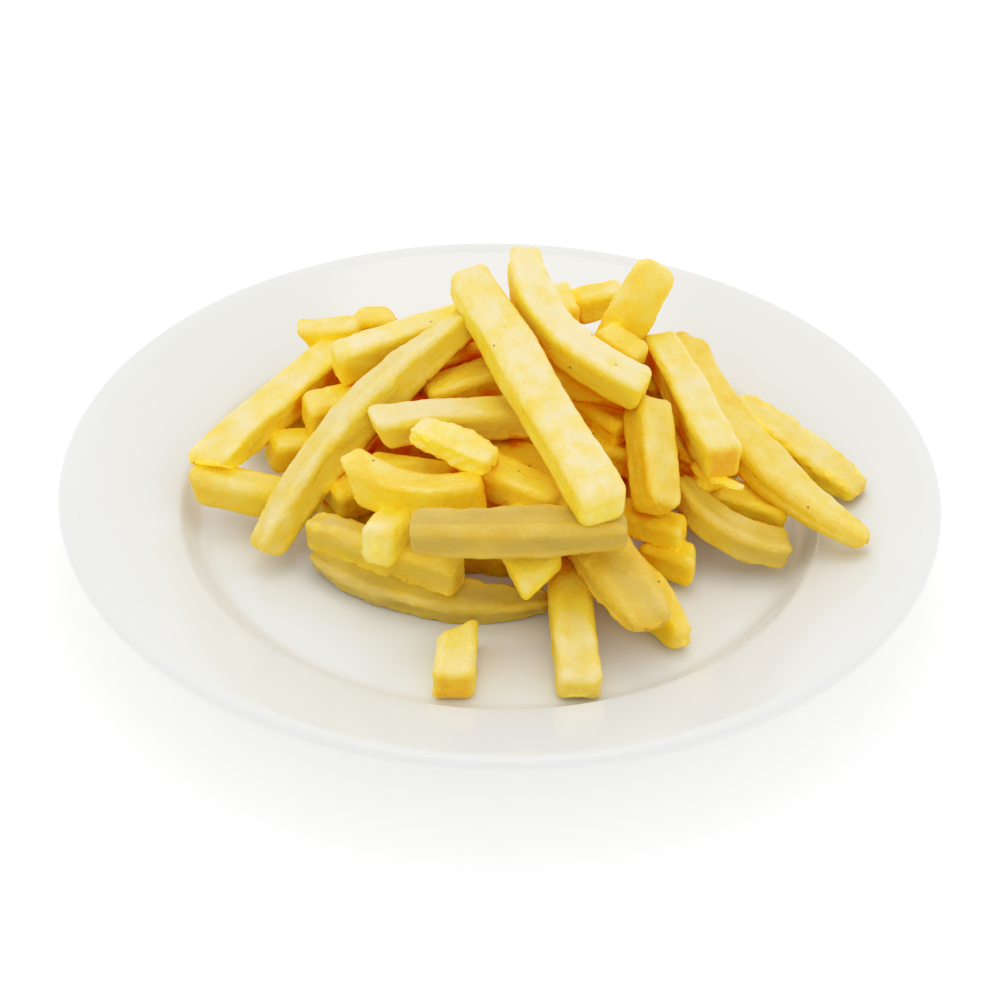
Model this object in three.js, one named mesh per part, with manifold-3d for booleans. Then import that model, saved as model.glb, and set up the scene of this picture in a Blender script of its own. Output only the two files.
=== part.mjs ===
// A portion of thick-cut french fries, heaped on a plain rimmed porcelain plate.
// Millimetres, +Z up. The origin is on the table, under the middle of the plate.
import * as THREE from 'three';
import { mergeVertices } from 'three/addons/utils/BufferGeometryUtils.js';
import Module from 'manifold-3d';

const wasm = await Module();
wasm.setup();

// ---- Plate sizes ----

const PLATE_RADIUS = 120;
const PLATE_HEIGHT = 25;
const WELL_RADIUS = 80; // where the flat floor ends
const WELL_DEPTH_Z = 6.5; // height of the floor above the table
const FOLD_RADIUS = 88.5; // the crease where the well wall meets the rim
const FOLD_Z = 12.5;
const WALL = 4.2; // thickness of the fired clay
const FOOT_RADIUS = 70.5; // middle of the foot ring
const FOOT_WIDTH = 4;
const FOOT_RECESS = 2.3; // how far the underside is set up inside the foot ring
const FOOT_LEAN = 1.5; // how far the foot ring's inner side leans
const LIP_RADIUS = 2; // the rolled edge of the rim
const PLATE_SEGMENTS = 72;
const CURVE_STEPS = 4; // straight pieces in each curve of the turned profile

// ---- Fry sizes ----

const CHAMFER = 0.18; // share of a half side that each long edge loses
const END_ROUNDING = 0.86; // the end ring's size against the bar's
const TIP_REACH = 0.35; // share of the length over which a tapered end narrows
const TIP_SHARPNESS = 1.5; // 1 narrows in straight lines, more draws the tip out
const END_SHARE = 0.05; // the rounded end's share of the length
const STRAIGHT_STATIONS = [0, END_SHARE, 0.5, 1 - END_SHARE, 1];
const CURVED_STATIONS = [0, END_SHARE, 0.25, 0.5, 0.75, 1 - END_SHARE, 1];
const UNEVEN_SIZE = 0.025; // how far a fry's girth strays along its length, as a share
const UNEVEN_LINE = 0.12; // how far its middle strays
const UNEVEN_SEED = 7;
const SLIVER = 0.03; // the joined skin is cleared of triangles thinner than this

// ---- The inner core, a low dome that stands for the packed middle of the heap ----

const CORE_CENTRE = [-2, 7];
const CORE_RADII = [44, 38];
const CORE_HEIGHT = 27;
const CORE_GAP = 0.3; // air between the core and the plate's floor
const CORE_SEGMENTS = 24;
const CORE_RINGS = 8;

// One fry: a bar from the middle of one end to the middle of the other, `wide` across and
// `thick` from its top face to its bottom face. The form may hold:
//   bow   [sideways, up]: how far the middle is bent out of line, to the right of its run and up
//   tipA, tipB  [width, thickness]: what is left of each at the first and at the last end
//   cutA, cutB  [sideways, up]: slope of the slanting cut that ends the fry
//   roll  degrees turned about its own length
function fry(from, to, wide, thick, form = {}) {
  return { from, to, wide, thick, ...form };
}

// The fry ends and bars along the front, most of them down on the plate's floor.
const FRONT = [
  fry([20.8, -80.5, 11.6], [18.4, -36, 18.5], 11, 8.5),
  fry([-50, -31, 12], [13.5, -46, 11.5], 10.5, 8, {
    bow: [7, 0], tipA: [0.3, 0.6], tipB: [0.4, 0.7], roll: 18,
  }),
  fry([-50, -27, 19], [-9.8, -47.6, 20], 8.5, 10, { tipA: [0.9, 0.8] }),
  fry([47.5, -61, 11.7], [22, -12, 13], 11, 10, { tipA: [0.5, 0.7] }),
  fry([39, -67, 21], [17, -26, 30], 16, 10, { tipA: [0.75, 0.55] }),
  fry([11, -56.5, 26], [2, -34, 30.5], 14, 8.5, { tipA: [0.9, 0.6], cutA: [0.4, 0], roll: -14 }),
  fry([-31, -46, 27], [-26.5, -32, 25.5], 10, 11),
  fry([-22, -52.5, 38], [32, -51, 38], 11, 10, { tipA: [0.85, 0.9], tipB: [0.6, 0.8] }),
  fry([-38, -23, 34], [-4, -33, 36], 9, 11, { bow: [4, -2], cutA: [0, -0.9] }),
  fry([-35.5, -16, 29.3], [-12, -20.5, 29.3], 10, 10),
  fry([-34, -9, 39.5], [8, -3, 40], 11, 9, { cutA: [0.3, -0.3] }),
  fry([-23, -17, 45], [-1.5, -29.5, 42.5], 9.5, 6, { tipA: [0.8, 0.8], tipB: [0.8, 0.8] }),
  fry([-5, -23, 35], [17, -36, 35], 11, 10),
  fry([-6, -4, 29], [18, -20, 30], 11, 10),
];

// The left side, with one fry leaning down over the others to the floor.
const LEFT = [
  fry([-83.5, -8, 20], [-58, -12.5, 16.5], 10, 11, { cutA: [0, -0.45] }),
  fry([-80, -9, 26], [-47, 40, 32], 11.5, 10, { tipA: [1, 0.4], cutA: [0.3, 0] }),
  fry([-62.5, -31, 13.5], [-9, 22, 54], 12, 11, {
    bow: [-5, 2], tipA: [0.65, 0.75], tipB: [0.4, 0.6], roll: -22,
  }),
  fry([-55, 10, 29.5], [-36, 19, 30], 11, 10),
  fry([-64.5, 2.5, 22], [-46, 9, 21], 10.5, 10),
  fry([-48, -3, 22], [-38, -20, 21], 11, 10),
  fry([-58, 44, 34], [-42, 43, 36], 9, 9, { cutA: [0.2, -0.7] }),
  fry([-45.5, 56.5, 31], [-32, 58, 31], 11, 8, { tipA: [0.7, 0.6], tipB: [0.7, 0.6] }),
  fry([-47, 21, 39.3], [-9, 37, 45], 11, 11.5, { tipB: [1, 0.85] }),
  fry([-21, 9, 37], [2, 16, 41], 11, 10),
  fry([-24, 26, 34], [4, 42, 36], 11, 9),
];

// The top of the heap, where the longest fries cross and a few ends stand up.
const TOP = [
  fry([26, -53, 46], [-10.8, 35, 60.4], 13, 11, { tipB: [0.9, 0.8], cutB: [0.3, 0] }),
  fry([5.6, 42, 64], [38, -4.5, 50], 11, 10, { bow: [9.5, 0], tipA: [0.8, 0.9] }),
  fry([44, 44, 61], [29, 31, 35], 10.5, 13.5, { tipA: [0.85, 0.85], tipB: [0.75, 0.8], roll: 25 }),
  fry([15.5, 65, 39], [18.5, 44, 41], 9, 8),
  fry([20.5, 59.5, 36.5], [35.5, 64, 38.5], 9, 9),
  fry([27, 29, 45.5], [38.5, 21, 42.5], 9.5, 8),
  fry([12, 15, 43], [38, 4, 43], 11, 10),
  fry([12, -2, 31], [40, -8, 29], 11, 9),
  fry([18, 16, 34], [34, -6, 36], 10, 9),
];

// The right side, where two long fries run out over the rim.
const RIGHT = [
  fry([44.3, 37, 38.5], [59, -20, 37.5], 11, 11, { tipA: [0.85, 0.9] }),
  fry([54.5, 48.5, 33], [97, -32.5, 22.5], 14.5, 9, {
    bow: [9, -1], tipA: [0.7, 0.85], tipB: [0.45, 0.55], cutA: [-0.5, 0], roll: -10,
  }),
  fry([66.5, 23.5, 28], [99, -7.5, 20], 12, 7, { tipA: [0.7, 0.8], tipB: [0.7, 0.6] }),
  fry([47.7, -12.5, 27], [77.5, -25.5, 14], 10, 8, { bow: [6, -1], tipA: [0.6, 0.8] }),
  fry([38.5, -1, 43.5], [41, -32, 31], 11, 10, { tipA: [0.95, 1], roll: -30 }),
  fry([49, -29, 20.5], [32, -22, 22], 9, 7.5),
  fry([52, -33, 13.5], [39, -26, 13], 10, 9, { cutA: [0.3, 0] }),
  fry([45.5, 8, 29], [57, -15.5, 28], 9, 8),
  fry([56, -18.5, 32.1], [64.5, -21.8, 31.4], 3, 1.7, { bow: [0.5, 0], tipB: [0.5, 0.5] }),
  fry([47, -5, 20.5], [78, -14, 16], 11, 9),
];

// Under the fries above, layer upon layer, seen only between them.
const INSIDE = [
  fry([-42, 10, 12], [-2, 22, 12], 11, 10),
  fry([-30, -8, 12], [8, 2, 12], 11, 10),
  fry([0, 36, 12], [36, 28, 12], 11, 10),
  fry([12, 6, 12], [54, 14, 12], 11, 10),
  fry([-44, 36, 12], [-8, 40, 12], 11, 10),
  fry([-20, -4, 22], [-14, 44, 22.5], 11, 10),
  fry([28, -2, 22], [36, 36, 22], 11, 10),
  fry([-6, 18, 32.5], [26, 30, 33], 11, 10),
  fry([-14, 29, 50], [12, 26, 52], 11, 9),
  fry([17, 31, 41], [34, 19, 40], 10, 9),
  fry([-56, 14, 12], [-42, -14, 12], 11, 10),
  fry([-36, -8, 20], [-2, -15, 20], 10, 9),
  fry([-4, 12, 22.5], [22, -4, 22.5], 11, 10),
  fry([16, -8, 12], [6, -34, 12], 10, 10),
  fry([-30, -24, 12], [2, -26, 12], 10, 10),
  fry([-4, 26, 43], [3, 16, 44], 9, 9),
];

// The far side of the heap.
const BACK = [
  fry([-52, 50, 12.5], [-12, 66, 12], 11, 10),
  fry([-4, 73, 12], [40, 64, 12], 11, 10),
  fry([50, 56, 12.5], [70, 24, 13], 11, 10),
  fry([-74, 22, 16.5], [-56, 34, 14], 11, 10),
  fry([-48, 56, 22], [-4, 50, 23], 11, 10),
  fry([2, 66, 21], [14, 28, 23], 11, 10),
  fry([26, 56, 21.5], [55, 35.5, 22], 11, 10),
  fry([-62, 42, 17], [-32, 28, 22], 11, 10),
  fry([30, 42, 30], [48, 26, 28], 11, 10),
  fry([-14, 58, 32], [14, 44, 33], 11, 10, { roll: 8 }),
  fry([-14, 48, 12], [18, 52, 12], 10, 9),
  fry([20, 46, 12.5], [52, 42, 12.5], 11, 10),
  fry([56, 36, 19], [62, 4, 19], 11, 10),
  fry([-34, 44, 32], [-20, 36, 32], 10, 9),
];

// The short piece that lies apart from the heap, its far end cut on the slant.
const LOOSE_END = fry([-10.7, -81, 12.2], [-9.8, -62, 12.2], 10, 10, { cutB: [0.9, 0] });

// ---- Building ----

// The plate is turned: floor, well wall, crease, sloping rim and rolled lip above, and below
// them a smooth underside that ends in a foot ring with a flat face.
function plateGeometry() {
  const footOut = FOOT_RADIUS + FOOT_WIDTH / 2;
  const footIn = FOOT_RADIUS - FOOT_WIDTH / 2;
  const foldUnderside = FOLD_Z - WALL;
  const wellCorner = (WELL_RADIUS + FOLD_RADIUS) / 2;
  const lipCentre = [PLATE_RADIUS - LIP_RADIUS, PLATE_HEIGHT - LIP_RADIUS];
  const profile = new THREE.Path();
  profile.moveTo(0, FOOT_RECESS);
  profile.lineTo(footIn - FOOT_LEAN, FOOT_RECESS);
  profile.lineTo(footIn, 0);
  profile.lineTo(footOut, 0);
  profile.quadraticCurveTo(footOut + FOOT_WIDTH, FOOT_RECESS, FOLD_RADIUS + 1, foldUnderside);
  profile.lineTo(lipCentre[0], PLATE_HEIGHT - 2 * LIP_RADIUS);
  profile.absarc(...lipCentre, LIP_RADIUS, -Math.PI / 2, Math.PI / 2, false);
  profile.lineTo(FOLD_RADIUS, FOLD_Z);
  profile.quadraticCurveTo(wellCorner, WELL_DEPTH_Z, WELL_RADIUS, WELL_DEPTH_Z);
  profile.lineTo(0, WELL_DEPTH_Z);
  const points = profile.getPoints(CURVE_STEPS);
  const geometry = new THREE.LatheGeometry(points, PLATE_SEGMENTS);
  return geometry.rotateX(Math.PI / 2); // the lathe turns about Y
}

// A repeatable run of numbers between -1 and 1, so that every build is the same.
function numberStream(seed) {
  let state = seed;
  return () => {
    state = (state * 1664525 + 1013904223) % 2 ** 32;
    return state / 2 ** 31 - 1;
  };
}
const stray = numberStream(UNEVEN_SEED);

// The narrowing of a tapered end: 1 at the end itself, 0 past the tip's reach.
function narrowing(distance) {
  return Math.max(0, 1 - distance / TIP_REACH) ** TIP_SHARPNESS;
}

// The eight-sided rings of a fry, from its first end to its last, as a closed skin. The bow is
// a parabola, and a slanting cut shifts the corners of the last two rings along the fry.
function fryGeometry(f) {
  const a = new THREE.Vector3(...f.from);
  const b = new THREE.Vector3(...f.to);
  const run = b.clone().sub(a);
  const along = run.clone().normalize();
  const right = along.clone().cross(new THREE.Vector3(0, 0, 1)).normalize();
  const above = right.clone().cross(along);
  const [bowRight, bowUp] = f.bow ?? [0, 0];
  const bend = right.clone().multiplyScalar(bowRight).addScaledVector(above, bowUp);
  const roll = THREE.MathUtils.degToRad(f.roll ?? 0);
  const stations = f.bow || f.tipA || f.tipB ? CURVED_STATIONS : STRAIGHT_STATIONS;
  const tipA = f.tipA ?? [1, 1];
  const tipB = f.tipB ?? [1, 1];
  const k = 1 - CHAMFER;
  const section = [[1, -k], [1, k], [k, 1], [-k, 1], [-1, k], [-1, -k], [-k, -1], [k, -1]];
  const positions = [];
  stations.forEach((s, i) => {
    const middle = a.clone().addScaledVector(run, s).addScaledVector(bend, 4 * s * (1 - s));
    middle.addScaledVector(right, UNEVEN_LINE * stray()).addScaledVector(above, UNEVEN_LINE * stray());
    const heading = run.clone().addScaledVector(bend, 4 - 8 * s).normalize();
    const side = right.clone().applyAxisAngle(along, roll);
    side.addScaledVector(heading, -side.dot(heading)).normalize();
    const up = side.clone().cross(heading);
    const nearA = narrowing(s);
    const nearB = narrowing(1 - s);
    const isEnd = i === 0 || i === stations.length - 1;
    const round = (isEnd ? END_ROUNDING : 1) * (1 + UNEVEN_SIZE * stray());
    const halfWide = (f.wide / 2) * round * (1 + (tipA[0] - 1) * nearA + (tipB[0] - 1) * nearB);
    const halfThick = (f.thick / 2) * round * (1 + (tipA[1] - 1) * nearA + (tipB[1] - 1) * nearB);
    const cut = (s < 0.5 ? f.cutA : f.cutB) ?? [0, 0];
    const slants = s <= END_SHARE || s >= 1 - END_SHARE;
    for (const [x, y] of section) {
      const slant = slants ? cut[0] * x * halfWide + cut[1] * y * halfThick : 0;
      const p = middle.clone()
        .addScaledVector(side, x * halfWide)
        .addScaledVector(up, y * halfThick)
        .addScaledVector(heading, slant);
      positions.push(p.x, p.y, p.z);
    }
  });
  const n = section.length;
  const last = (stations.length - 1) * n;
  const index = [];
  for (let i = 0; i < stations.length - 1; i++) {
    for (let j = 0; j < n; j++) {
      const p = i * n + j;
      const q = i * n + ((j + 1) % n);
      index.push(p, q + n, q, p, p + n, q + n);
    }
  }
  for (let j = 1; j < n - 1; j++) {
    index.push(0, j, j + 1);
    index.push(last, last + j + 1, last + j);
  }
  const geometry = new THREE.BufferGeometry();
  geometry.setAttribute('position', new THREE.Float32BufferAttribute(positions, 3));
  geometry.setIndex(index);
  return geometry;
}

// A low dome with an oval base, for the heap's inside.
function coreGeometry() {
  const half = Math.PI / 2;
  const cap = new THREE.SphereGeometry(1, CORE_SEGMENTS, CORE_RINGS, 0, 2 * Math.PI, 0, half);
  const base = new THREE.CircleGeometry(1, CORE_SEGMENTS).rotateX(half);
  const dome = joined([cap, base]).rotateX(half);
  dome.scale(...CORE_RADII, CORE_HEIGHT);
  return dome.translate(...CORE_CENTRE, WELL_DEPTH_Z + CORE_GAP);
}

// Several open skins as one indexed skin, with nothing left but the positions.
function joined(geometries) {
  const positions = geometries.flatMap((g) => [...g.toNonIndexed().attributes.position.array]);
  const geometry = new THREE.BufferGeometry();
  geometry.setAttribute('position', new THREE.Float32BufferAttribute(positions, 3));
  return mergeVertices(geometry, 1e-4);
}

// From a three.js geometry to a solid that can be joined, and back.
function toSolid(geometry) {
  return new wasm.Manifold(new wasm.Mesh({
    numProp: 3,
    vertProperties: new Float32Array(geometry.attributes.position.array),
    triVerts: new Uint32Array(geometry.index.array),
  }));
}

function toGeometry(solid) {
  const { vertProperties, triVerts } = solid.getMesh();
  const geometry = new THREE.BufferGeometry();
  geometry.setAttribute('position', new THREE.BufferAttribute(vertProperties, 3));
  geometry.setIndex(new THREE.BufferAttribute(triVerts, 1));
  return geometry;
}

// The fries and the core grown into one body, without the hollows shut in between them.
function heapGeometry() {
  const fries = [...FRONT, ...LEFT, ...TOP, ...RIGHT, ...INSIDE, ...BACK];
  let heap = toSolid(coreGeometry());
  for (const f of fries) heap = heap.add(toSolid(fryGeometry(f)));
  const skins = heap.simplify(SLIVER).decompose();
  skins.sort((p, q) => q.volume() - p.volume());
  return toGeometry(skins[0]);
}

const porcelain = new THREE.MeshStandardMaterial({ color: '#e9e8e3', roughness: 0.12 });
const friedPotato = new THREE.MeshStandardMaterial({ color: '#eecf6c', roughness: 0.55 });

function part(name, geometry, material) {
  const mesh = new THREE.Mesh(geometry, material);
  geometry.computeVertexNormals();
  mesh.name = name;
  return mesh;
}

// ---- The portion ----

const portion = new THREE.Group();
portion.add(part('plate', plateGeometry(), porcelain));
portion.add(part('fries_heap', heapGeometry(), friedPotato));
portion.add(part('loose_fry_end', fryGeometry(LOOSE_END), friedPotato));

export default portion;
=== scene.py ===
import math

import bpy
import numpy as np
from mathutils import Matrix


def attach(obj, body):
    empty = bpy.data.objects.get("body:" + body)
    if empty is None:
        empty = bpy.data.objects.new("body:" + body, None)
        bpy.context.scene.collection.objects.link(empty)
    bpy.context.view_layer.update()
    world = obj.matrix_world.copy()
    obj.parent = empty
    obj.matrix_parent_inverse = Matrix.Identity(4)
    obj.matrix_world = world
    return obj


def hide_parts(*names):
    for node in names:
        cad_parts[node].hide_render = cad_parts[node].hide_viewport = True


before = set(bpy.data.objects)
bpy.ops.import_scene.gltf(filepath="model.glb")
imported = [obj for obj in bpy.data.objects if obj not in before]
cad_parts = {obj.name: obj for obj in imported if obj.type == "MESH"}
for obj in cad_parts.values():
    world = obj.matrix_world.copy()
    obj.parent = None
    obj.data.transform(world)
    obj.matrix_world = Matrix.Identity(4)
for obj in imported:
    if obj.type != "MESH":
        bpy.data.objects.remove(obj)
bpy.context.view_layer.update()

# ---- Plate ----
# A rimmed plate of white porcelain, pressed on a turning mould, so that it is round all over.
# It was dipped in clear glaze and fired on its foot ring.

PLATE_RADIUS = 120.0  # in millimetres, as all sizes of pieces and patterns are
PLATE_HEIGHT = 25.0
WELL_RADIUS = 80.0
WELL_FLOOR = 6.5
FOLD_RADIUS = 88.5
FOLD_HEIGHT = 12.5
FOLD_ROUNDING = 1.6
WALL = 4.2
BELLY_OUT = 1.0  # how far the underside's turn lies outside the fold
FOOT_RADIUS = 70.5
FOOT_WIDTH = 4.0
FOOT_RECESS = 2.3
FOOT_LEAN = 1.5
LIP_RADIUS = 2.0
LIP_STEPS = 16
PLATE_SEGMENTS = 288
CLOUD_IN_WHITE = 45.0
GLAZE_WAVE = 30.0


def curve(start, middle, end, steps):
    """Points of a quadratic curve, without its first one."""
    t = np.linspace(0, 1, steps + 1)[1:, None]
    a, b, c = (np.array(p, float) for p in (start, middle, end))
    return (1 - t) ** 2 * a + 2 * t * (1 - t) * b + t ** 2 * c


def line(start, end, steps):
    """Evenly spaced points of a straight stretch, without its first one."""
    t = np.linspace(0, 1, steps + 1)[1:, None]
    return (1 - t) * np.array(start, float) + t * np.array(end, float)


def upper_profile():
    """Radius and height of what the food lies on, from the middle of the well to the rim."""
    slope = np.array([PLATE_RADIUS - LIP_RADIUS - FOLD_RADIUS, PLATE_HEIGHT - FOLD_HEIGHT])
    slope /= np.linalg.norm(slope)
    fold = np.array([FOLD_RADIUS, FOLD_HEIGHT])
    corner = np.array([(WELL_RADIUS + FOLD_RADIUS) / 2, WELL_FLOOR])
    drop = (corner - fold) / np.linalg.norm(corner - fold)
    fold_in = fold + drop * FOLD_ROUNDING
    fold_out = fold + slope * FOLD_ROUNDING
    rim_end = (PLATE_RADIUS - LIP_RADIUS, PLATE_HEIGHT)
    return np.vstack([
        [(0, WELL_FLOOR)],
        line((0, WELL_FLOOR), (WELL_RADIUS, WELL_FLOOR), steps=10),
        curve((WELL_RADIUS, WELL_FLOOR), corner, fold_in, steps=14),
        curve(fold_in, fold, fold_out, steps=6),
        line(fold_out, rim_end, steps=8),
    ])


def lower_profile():
    """From the rim's end round the lip and along the underside to the middle."""
    foot_out = FOOT_RADIUS + FOOT_WIDTH / 2
    foot_in = FOOT_RADIUS - FOOT_WIDTH / 2
    turn = np.linspace(math.pi / 2, -math.pi / 2, LIP_STEPS + 1)[1:]
    lip = np.column_stack([
        PLATE_RADIUS - LIP_RADIUS + LIP_RADIUS * np.cos(turn),
        PLATE_HEIGHT - LIP_RADIUS + LIP_RADIUS * np.sin(turn),
    ])
    belly = (FOLD_RADIUS + BELLY_OUT, FOLD_HEIGHT - WALL)
    return np.vstack([
        lip,
        line(lip[-1], belly, steps=6),
        curve(belly, (foot_out + FOOT_WIDTH, FOOT_RECESS), (foot_out, 0), steps=10),
        line((foot_out, 0), (foot_in, 0), steps=2),
        line((foot_in, 0), (foot_in - FOOT_LEAN, FOOT_RECESS), steps=2),
        line((foot_in - FOOT_LEAN, FOOT_RECESS), (0, FOOT_RECESS), steps=8),
    ])


def new_piece(name, points_mm, faces, smooth_angle=40):
    """A mesh object from points in millimetres, smooth but for edges sharper than the angle."""
    mesh = bpy.data.meshes.new(name)
    mesh.from_pydata((np.asarray(points_mm) / 1000).tolist(), [], faces)
    mesh.validate()
    mesh.shade_smooth()
    mesh.set_sharp_from_angle(angle=math.radians(smooth_angle))
    piece = bpy.data.objects.new(name, mesh)
    bpy.context.scene.collection.objects.link(piece)
    return piece


def ring_faces(rings, segments, first_ring, first_pole, last_pole):
    """Faces between rings of points, closed by a fan round a pole at each end. The numbers are
    where the first ring's points and the poles stand in the list of points."""
    j = np.arange(segments)
    k = (j + 1) % segments
    here = (first_ring + np.arange(rings - 1) * segments)[:, None]
    there = here + segments
    bands = np.stack([here + j, there + j, there + k, here + k], -1).reshape(-1, 4)
    last = first_ring + (rings - 1) * segments
    first_fan = np.column_stack([np.full(segments, first_pole), first_ring + j, first_ring + k])
    last_fan = np.column_stack([np.full(segments, last_pole), last + k, last + j])
    return bands.tolist() + first_fan.tolist() + last_fan.tolist()


def turned(name, profile, segments):
    """A closed piece turned about +Z from a profile that starts and ends on the axis."""
    rings = profile[1:-1]
    angles = np.arange(segments) * 2 * math.pi / segments
    points = [(0, 0, profile[0][1]), (0, 0, profile[-1][1])]
    for radius, height in rings:
        points += [(radius * math.cos(a), radius * math.sin(a), height) for a in angles]
    faces = ring_faces(len(rings), segments, first_ring=2, first_pole=0, last_pole=1)
    return new_piece(name, points, faces)


def linear(hex_colour):
    """An sRGB hex colour as linear red, green, blue and alpha."""
    channels = [int(hex_colour[i:i + 2], 16) / 255 for i in (1, 3, 5)]
    return (*(c / 12.92 if c <= 0.04045 else ((c + 0.055) / 1.055) ** 2.4 for c in channels), 1)


def new_material(name):
    """An empty node material, its tree and its output's surface socket."""
    material = bpy.data.materials.new(name)
    material.use_nodes = True
    tree = material.node_tree
    tree.nodes.clear()
    output = tree.nodes.new("ShaderNodeOutputMaterial")
    return material, tree, output.inputs["Surface"]


def add(tree, kind, inputs, **settings):
    """Adds a node with its own settings. An input is a value, or a socket to link from."""
    node = tree.nodes.new("ShaderNode" + kind)
    for name, value in settings.items():
        setattr(node, name, value)
    for name, value in inputs.items():
        if isinstance(value, bpy.types.NodeSocket):
            tree.links.new(value, node.inputs[name])
        else:
            node.inputs[name].default_value = value
    return node


def glazed_porcelain():
    """White porcelain under clear glaze: a hard even gloss, with the glaze lying very slightly
    in waves, and a faint unevenness in the white below it."""
    material, tree, surface = new_material("glazed_porcelain")
    place = add(tree, "TexCoord", {}).outputs["Object"]
    cloud = add(tree, "TexNoise", {"Vector": place, "Scale": 1000 / CLOUD_IN_WHITE, "Detail": 2})
    white = add(tree, "Mix", {
        "Factor": cloud.outputs["Fac"], "A": linear("#e6e8e2"), "B": linear("#ebece8"),
    }, data_type="RGBA")
    glaze = add(tree, "TexNoise", {"Vector": place, "Scale": 1000 / GLAZE_WAVE, "Detail": 1})
    bump = add(tree, "Bump", {
        "Height": glaze.outputs["Fac"], "Strength": 0.25, "Distance": 0.0006,
    })
    shader = add(tree, "BsdfPrincipled", {
        "Base Color": white.outputs["Result"],
        "Roughness": 0.13,
        "IOR": 1.5,
        "Normal": bump.outputs["Normal"],
    })
    tree.links.new(shader.outputs["BSDF"], surface)
    return material


plate = turned("rimmed_plate", np.vstack([upper_profile(), lower_profile()]), PLATE_SEGMENTS)
plate.data.materials.append(glazed_porcelain())
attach(plate, "root")
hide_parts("plate")

# ---- Fries at the front ----
# Thick-cut potato, blanched and fried once: a thin pale crust over a soft inside, with the
# knife's long edges softened. The lowest ones lie on the plate's floor.

# The form of a fry.
FRY_CORNER = 0.5  # rounding of the long edges, as a share of half the smaller side
FRY_CORNER_MOST = 0.95
EDGE_DIFFERENCE = (0.65, 1.15)  # least and most of it on the four edges, as a factor
FRY_END_ROUNDING = 2.1
FRY_END_ROUNDING_MOST = 0.36  # as a share of the smaller side
CORNER_LEFT_AT_CUT = 0.25  # least share of the edges' rounding that runs on to a cut end
TIP_REACH = 0.35  # share of the length over which a tapered end narrows
TIP_SHARPNESS = 1.5
END_SLANT = 0.12  # most that an end is cut out of square, as a slope
TWIST = 5.0  # degrees that a fry may be wound from end to end
GROOVE_WIDTH = 0.13  # as a share of half the fry's width
UPPER_FACE = 0.7  # how much a point has to look up to lie in a groove
REST_GAP = 0.05  # between the food and the glaze
SETTLE = 0.35  # how far the fries sink until the lowest ones rest

# The points of its mesh.
END_ROUNDING_RINGS = 5
CUT_FACE_RINGS = (0.82, 0.62, 0.42, 0.22)  # as shares of the cut's size
FEWEST_STEPS = 8
EDGE_FADE = 3  # how soon what happens to an edge fades away from it, as a power

# How uneven it is: each is a height and a length of waves() in millimetres, or a share.
WAVE_SPREAD = (0.7, 1.4)  # how close waves of one kind lie, from the longest to the shortest
SWAY = dict(height=0.45, length=45)  # of the line of its middle, to the sides
LIFT = dict(height=0.2, length=45)  # of that line, up and down
GIRTH = dict(height=0.045, length=24)  # share of its size
CORNER_CHANGE = dict(height=0.2, length=25)  # share of the edges' rounding
CORNER_CHANGE_MOST = 1.05
UNDULATION = dict(height=0.2, length=20)  # soft hollows and swellings of the faces
LUMPS = dict(height=0.13, length=6)
CRUMB = dict(height=0.08, length=2, count=24)  # the grain of the crust
FIBRE_RIDGES = dict(height=0.06, length=2.5, squeeze=(0.15, 1, 1))
HOLLOW = 0.3  # how far a face has shrunk in between its long edges
HOLLOW_CHANGE = dict(height=0.6, length=30, squeeze=(1, 0.1, 0.1))  # share of the hollow
HOLLOW_CHANGE_MOST = 2
EDGE_WEAR = 0.25  # how much the long edges are worn down in places
WORN_PLACES = dict(height=1, length=9, squeeze=(1, 0.2, 0.2))
WORN_FROM = 0.1
EDGE_NICKS = 0.45  # crumbs lost from them
NICKED_PLACES = dict(height=1, length=3, count=24)
NICKED_FROM = 0.5
CUT_RELIEF = 0.8  # unevenness of a cut end, as a share of that of the faces

# How golden its crust is: each is added to its tone.
USUAL_TONE = 0.3
GOLDEN_EDGES = 0.06
GOLDEN_ENDS = 0.06
GOLDEN_END_REACH = 5.0
GOLDEN_SIDE = 0.10
GOLDEN_PLACES = dict(height=0.07, length=18)
GOLDEN_SPOTS = dict(height=0.05, length=6, squeeze=(0.4, 1, 1))
TAN_SHADE_SHARE = 0.85  # how evenly the darker tan, partly painted shade, covers a fry
TAN_SHADE_PLACES = dict(height=0.12, length=8, squeeze=(0.6, 1, 1))
TAN_SHADE_LOST_ON_EDGES = 0.25


def fry(start, end, wide, thick, **form):
    """One fry from the middle of its first end to the middle of its last, in millimetres:
    bow      (sideways, up), how far the middle is bent out of line
    tip_a/b  (width, thickness), what is left of each at an end
    cut_a/b  (sideways, up), slope of the slanting cut at an end
    roll     degrees turned about its own length
    soft     rounding of its edges and ends, as a factor
    groove   (depth, place), a furrow along its upper face, and where: -1 to 1 across it
    tone     how golden its crust is, from about 0 to 1, or a pair for its two ends
    brown_a/b  how much more golden the cut face of an end is
    rough    how uneven its crust is, as a factor
    dull  how much darker and tan its crust is painted, from 0 to 1, partly as painted shade
    """
    return dict(start=start, end=end, wide=wide, thick=thick, **form)


def waves(points, rng, length, height=1, squeeze=(1, 1, 1), count=16):
    """Smooth seeded unevenness at each point, up to about plus or minus its height. Its waves
    are about `length` long, and longer where the points are squeezed by less than 1."""
    directions = rng.normal(size=(3, count))
    directions *= 2 * math.pi / (length * np.linalg.norm(directions, axis=0))
    directions *= rng.uniform(*WAVE_SPREAD, count)
    turns = rng.uniform(0, 2 * math.pi, count)
    total = np.sin((points * squeeze) @ directions + turns).sum(axis=1)
    return height * (total * math.sqrt(0.5 / count))


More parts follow.
